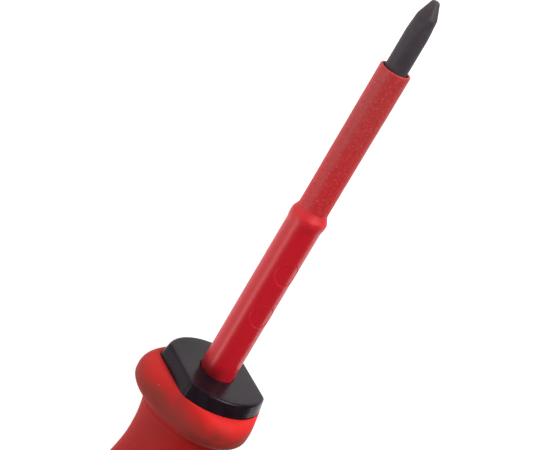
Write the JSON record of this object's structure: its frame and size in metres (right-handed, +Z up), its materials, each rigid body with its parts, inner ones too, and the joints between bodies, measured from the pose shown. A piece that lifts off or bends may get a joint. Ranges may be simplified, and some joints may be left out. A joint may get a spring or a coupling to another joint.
{
  "type": "insulated screwdriver",
  "caption": "Cross-point screwdriver with a two-step insulating sleeve, a hard collar with two flats and a three-lobed soft handle with a hanging hole.",
  "frame": {"origin": "centre of the bounding box, on the surface that the tool lies on", "axes": "+X along the shaft towards the point, +Z up, +Y across the collar's flats"},
  "size_m": [0.2098, 0.0306, 0.0293],
  "materials": {
    "blackened_steel": "black oxide, fine turning marks, bright at the flute edges",
    "inner_insulation": "fine-grained matte polyamide",
    "outer_insulation": "moulded, semi-gloss, faint flow lines",
    "core_plastic": "moulded, satin black",
    "shell_plastic": "moulded, satin red",
    "grip_rubber": "soft-touch, matte, a little dust in the grain",
    "inlay_rubber": "soft-touch, matte, fine ribs",
    "disc_plastic": "moulded, satin"
  },
  "bodies": {
    "root": {"blade": "blackened_steel", "inner_sleeve": "inner_insulation", "outer_sleeve": "outer_insulation", "handle_core": "core_plastic", "handle_shell": "shell_plastic", "soft_grip": "grip_rubber", "grip_inlay_left": "inlay_rubber", "grip_inlay_right": "inlay_rubber", "grip_inlay_lower": "inlay_rubber", "end_cap": "core_plastic", "symbol_disc": "disc_plastic"}
  },
  "joints": []
}
